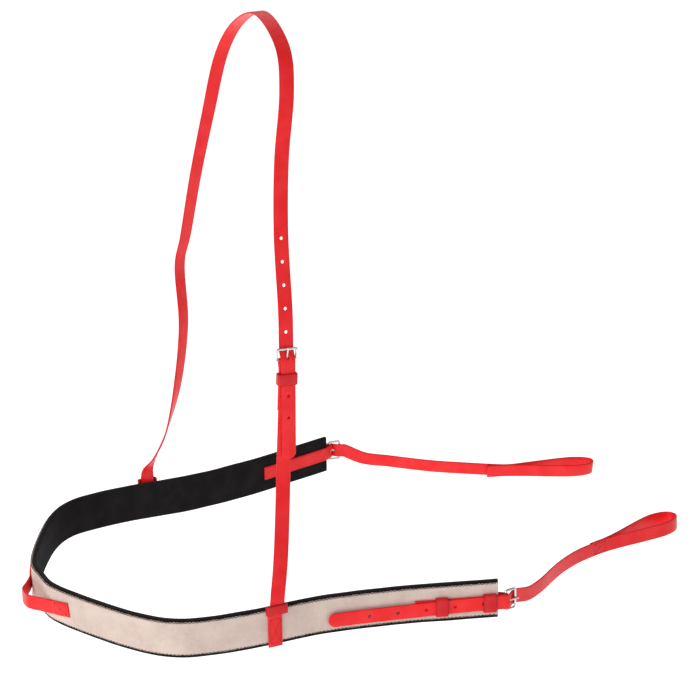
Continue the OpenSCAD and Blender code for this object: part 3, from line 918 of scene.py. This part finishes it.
def girth_side(side, lean, grow, word):
    """One end of the band. lean is (degrees, from where on the run, over how far) the strap turns."""
    line, n_first = girth_line(side, grow)
    s = lengths(line)
    degrees, start, over = lean
    leans = np.radians(degrees * ramp((s - s[n_first] - start) / over))
    widths = [(0, side * math.sin(g), math.cos(g)) for g in leans]
    girth_strap(side, word, word + "_girth", Path(side_points(line, side), widths))
    girth_chape(side, word)
    for label, s_at, width, drop, room in TAIL_KEEPERS:
        tail_keeper(side, word, label, s_at, width, drop, room)


girth_side(-1, (-4.0, 0.0, 40.0), (1.05, 1.05), "left")
girth_side(1, (-12.0, 0.0, 60.0), (1.0, 1.0), "right")

# ---------------------------------------------------------------- neck
NECK_HEEL = np.array([252.5, -170 + FOLD_R, 309.5])
NECK_LEAN = 3.2
TAIL_L = 121.0
FOLD_LAP = 60.0
# The strap's holes stand off their even spacing from the tongue, below the buckle and above it
TAIL_SHIFT = 6.7
UPPER_SHIFT = 2.4
# Points on the strap's middle line, and which way its width is turned there, in degrees
NECK_LEFT = [(257, -158, 369, 0), (263, -136, 452, 0), (274, -116, 532, 0), (288, -102, 607, 0),
             (298, -68, 653, 0)]
NECK_CROWN = (300, 0, 678, 0)
NECK_RIGHT = [
    (298, 68, 653, 0), (288, 102, 607, 3), (274, 116, 532, 8), (263, 136, 452, 15), (256, 160, 369, 21),
    (251, 172, 325, 26), (251, 166, 249, 30), (243, 174, 167, 38), (232, 190, 101, 62), (221, 206, 62, 56),
    (212.5, 213.8, 42, 20), (211.3, 215.3, 30, 4),
]
NECK_LOW = [(214.8, -215.3, 30, 0), (216.6, -213.8, 42, 0), (222.5, -207, 66, 0), (229.5, -196, 92, 0),
            (237, -183, 125, 0), (242, -175, 155, 0)]
LEAN_X = math.sin(math.radians(NECK_LEAN))
LEAN_Z = math.cos(math.radians(NECK_LEAN))
UP_STRAP = np.array([LEAN_X, 0, LEAN_Z])
FORE_AFT = np.array([LEAN_Z, 0, -LEAN_X])
# The tail lies on the buckle strap, and that strap's lap lies behind it
LAYER = FOLD_R + STRAP_T
LAP_LAYER = FOLD_R - STRAP_T - 0.1
# The left strap leaves the band this far rearwards, over a length that starts below the top edge
ANCHOR_TOP = 27.5
ANCHOR_SHIFT = 3.2
SHIFT_FROM, SHIFT_OVER = 16, 14
ANCHOR_SEAM_Z = (-21.0, 11.0)


def neck_at(q, across=0.0):
    """From buckle coordinates, q[0] up the strap and q[1] outwards, to the frame."""
    return NECK_HEEL + q[0] * UP_STRAP + np.array([0, -q[1], 0]) + across * FORE_AFT


def square_on(p):
    """A point of the neck strap where its width lies fore and aft."""
    return (*p, 0.0)


def anchor_line(side):
    """Down the outside of the band, from the foot of a neck strap."""
    g = side * (rail(side * ANCHOR_S + 1) - rail(side * ANCHOR_S - 1))
    angle = math.degrees(math.atan2(g[1], g[0]))
    x, y = rail(side * ANCHOR_S, ON_FACING)
    line = []
    for z in np.linspace(ANCHOR_TOP, -BAND_H / 2 - 0.2, 22):
        shift = ANCHOR_SHIFT * ramp((z - SHIFT_FROM) / SHIFT_OVER) if side < 0 else 0.0
        line.append((x + shift, y, z, angle))
    return line


def neck_path(points):
    return Path([p[:3] for p in points],
                [(math.cos(math.radians(p[3])), math.sin(math.radians(p[3])), 0) for p in points])


def drift(x):
    """How far rearwards the tail has drifted off the strap that it lies on."""
    return 0.8 - 0.04 * x


def drifted(q):
    return square_on(neck_at(q, drift(q[0])))


# The long strap: its tail, over the heel bar, up the left side, over the crown and down the right
inside = [drifted((d - TAIL_L, LAYER)) for d in np.arange(0, TAIL_L - 4, 2.5)]
inside += [drifted(PASS_R * turn(a) - np.array([0, PLAY])) for a in np.arange(90, LEAVES_AT, -6.0)]
inside += [drifted(q) for q in DIP]
over = spline([inside[-1]] + NECK_LEFT + [NECK_CROWN] + NECK_RIGHT, 24)
neck_line = inside[:-1] + [tuple(p) for p in over] + anchor_line(1)
neck = neck_path(neck_line)
tongue_s = neck.nearest(neck_at(TONGUE_AT))
neck_holes = [(tongue_s + k * NECK_PITCH + TAIL_SHIFT, HOLE_R, 0.0) for k in (-3, -2)]
neck_holes += [(tongue_s + k * NECK_PITCH + UPPER_SHIFT, HOLE_R, 0.0) for k in range(1, 6)]
neck_holes += [(tongue_s, *TONGUE_HOLE)]
neck_skin = strap("neck_strap_skin", neck, RED, holes=neck_holes, tip=True, step=3.5)
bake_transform(neck_skin)
done(neck_skin, None, "strap", "neck_strap", "right_neck_anchor")

# The buckle strap: up from the left anchor, round the heel bar and down inside, as a lap
low_line = [tuple(p) for p in reversed(anchor_line(-1))]
low_line += [tuple(p) for p in spline(
    NECK_LOW + [square_on(neck_at((-127.5, FOLD_R))), square_on(neck_at((-90, FOLD_R)))], 12)]
low_line += [square_on(neck_at((x, FOLD_R))) for x in np.arange(-86, -0.5, 3.0)]
low_line += [square_on(neck_at(FOLD_R * turn(a))) for a in np.arange(90, -106, -7.5)]
low_line += [square_on(neck_at((x, LAP_LAYER))) for x in np.arange(-11, -FOLD_LAP - 1, -3.5)]
low = neck_path(low_line)
slot_from = low.nearest(neck_at((-SLOT_BACK, FOLD_R)))
slot_to = low.nearest(neck_at((-SLOT_BACK - 0.5, -1.2)))
low_skin = strap("neck_buckle_strap_skin", low, RED, slots=[(slot_from, slot_to)], step=3.2)
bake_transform(low_skin)
done(low_skin, None, "strap", "neck_buckle_strap", "left_neck_anchor")

# Stitching of the anchors, on the band, and of the lap, on the neck
foot_s, high_s = (low.nearest((*rail(-ANCHOR_S, ON_FACING), z)) for z in ANCHOR_SEAM_Z)
far_low, far_high = (neck.nearest((*rail(ANCHOR_S, ON_FACING), z)) for z in ANCHOR_SEAM_Z)
anchor_seams = stitching("neck_anchor_seams", [
    (low, box_seam(foot_s, high_s, ANCHOR_SEAM, True), STRAP_T / 2, -1),
    (neck, box_seam(far_high, far_low, ANCHOR_SEAM, True), STRAP_T / 2, -1),
], THREAD)
done(anchor_seams, "band", "strap")
lap_from = low.nearest(neck_at((-FOLD_LAP + 3, LAP_LAYER)))
lap_to = low.nearest(neck_at((-32, LAP_LAYER)))
lap_seams = stitching("neck_lap_seams", [
    (low, box_seam(lap_to, lap_from, BOX_W), STRAP_T / 2, -1),
], THREAD)
done(lap_seams, "neck", "strap")


# ---------------------------------------------------------------- keepers of the neck straps
NECK_KEEPER_AT = -22
NECK_KEEPER_W = 14.0
NECK_KEEPER_ROOM = 1.5
BAND_KEEPER_Z = 21.7
BAND_KEEPER_W = 11.8
# Room beside the strap, and how far the keeper stands off its anchor, by side
BAND_KEEPER_ROOM = {-1: 2.7, 1: 1.8}
BAND_KEEPER_SHIFT = {-1: 2.4, 1: 0.0}


def neck_keeper():
    """A closed ring round the buckle strap, its lap and the tail."""
    half = STRAP_W / 2 + NECK_KEEPER_ROOM + KEEPER_T / 2
    lo = FOLD_R - 1.5 * STRAP_T - 0.4 - KEEPER_T / 2
    hi = FOLD_R + 1.5 * STRAP_T + 0.4 + KEEPER_T / 2
    section = rounded([(0, lo), (-half, lo), (-half, hi), (half, hi), (half, lo), (0, lo)], 2.4)
    points = [neck_at((NECK_KEEPER_AT, y), z + drift(0)) for z, y in section]
    path = Path(points, UP_STRAP)
    keeper = strap("neck_keeper_skin", path, KEEPER, width=NECK_KEEPER_W, thick=KEEPER_T, step=2.0)
    done(keeper, "neck", "keeper", "neck_keeper")


def band_keeper(side, word):
    """An arch from the facing over the foot of a neck strap."""
    mid = side * (ANCHOR_S + BAND_KEEPER_SHIFT[side])
    reach = STRAP_W / 2 + BAND_KEEPER_ROOM[side] + KEEPER_T / 2
    high = FACING_T + STRAP_T + 1.0 + KEEPER_T / 2
    section = rounded([(-reach, 1.4), (-reach, high - 0.1), (-reach + 1.6, high + 0.1), (0, high + 0.3),
                       (reach - 1.6, high + 0.1), (reach, high - 0.1), (reach, 1.4)], 1.5)
    path = Path([(*rail(mid + d, off), BAND_KEEPER_Z) for d, off in section], (0, 0, 1))
    name = word + "_band_keeper"
    keeper = strap(name + "_skin", path, KEEPER, width=BAND_KEEPER_W, thick=KEEPER_T, step=2.0)
    done(keeper, "band", "keeper", name)


neck_keeper()
band_keeper(-1, "left")
band_keeper(1, "right")

# ---------------------------------------------------------------- buckles, as the CAD has them
for word in ("left", "right", "neck"):
    for part in ("frame", "tongue"):
        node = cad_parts[word + "_buckle_" + part]
        for material_slot in node.material_slots:
            material_slot.material = CHROME

# ---------------------------------------------------------------- camera, floor and lights
CAMERA_AT = Vector((-0.895, -2.955, 1.401))
CAMERA_LENS = 142.97
LIGHTS_AIM = Vector((0.35, 0.0, 0.25))
FLOOR_AT = (0.35, 0.0, -0.5)
FLOOR_GLOW = 0.64
WHITE = (1.0, 1.0, 1.0, 1.0)

scene = bpy.context.scene
camera_data = bpy.data.cameras.new("camera")
camera_data.sensor_width = 36.0
camera_data.lens = CAMERA_LENS
camera = bpy.data.objects.new("camera", camera_data)
scene.collection.objects.link(camera)
right = Vector((0.9129, -0.4079, -0.0144)).normalized()
forward = Vector((0.3803, 0.8627, -0.3334)).normalized()
up = right.cross(forward).normalized()
camera.matrix_world = Matrix((
    (right.x, up.x, -forward.x, CAMERA_AT.x),
    (right.y, up.y, -forward.y, CAMERA_AT.y),
    (right.z, up.z, -forward.z, CAMERA_AT.z),
    (0, 0, 0, 1),
))
scene.camera = camera
scene.view_settings.view_transform = "Standard"


def floor():
    """A pale floor that glows a little, so that it renders white round the object."""
    bm = bmesh.new()
    bmesh.ops.create_grid(bm, x_segments=24, y_segments=24, size=30.0)
    data = bpy.data.meshes.new("floor")
    bm.to_mesh(data)
    bm.free()
    obj = bpy.data.objects.new("floor", data)
    obj.location = FLOOR_AT
    n = Nodes("pale_floor")
    where = n.add("ShaderNodeTexCoord").outputs["Object"]
    colour = n.mix(n.noise(where, 0.6, 2.0), (0.93, 0.93, 0.93, 1), (0.95, 0.95, 0.95, 1))
    data.materials.append(n.finish(Base_Color=colour, Roughness=0.9, Specular_IOR_Level=0.0,
                                   Emission_Color=WHITE, Emission_Strength=FLOOR_GLOW))
    scene.collection.objects.link(obj)


def area_light(name, location, size, energy):
    data = bpy.data.lights.new(name, "AREA")
    data.shape = "SQUARE"
    data.size = size
    data.energy = energy
    obj = bpy.data.objects.new(name, data)
    obj.location = location
    aim = LIGHTS_AIM - Vector(location)
    obj.rotation_euler = aim.to_track_quat("-Z", "Y").to_euler()
    scene.collection.objects.link(obj)


floor()
area_light("key", (-3.9, -1.5, 2.4), 2.4, 120)
area_light("fill", (1.2, -3.6, 2.2), 2.6, 12)
area_light("back", (0.6, 2.8, 3.2), 2.6, 30)

world = bpy.data.worlds.new("studio")
scene.world = world
world.use_nodes = True
background = world.node_tree.nodes["Background"]
background.inputs["Color"].default_value = WHITE
background.inputs["Strength"].default_value = 0.4
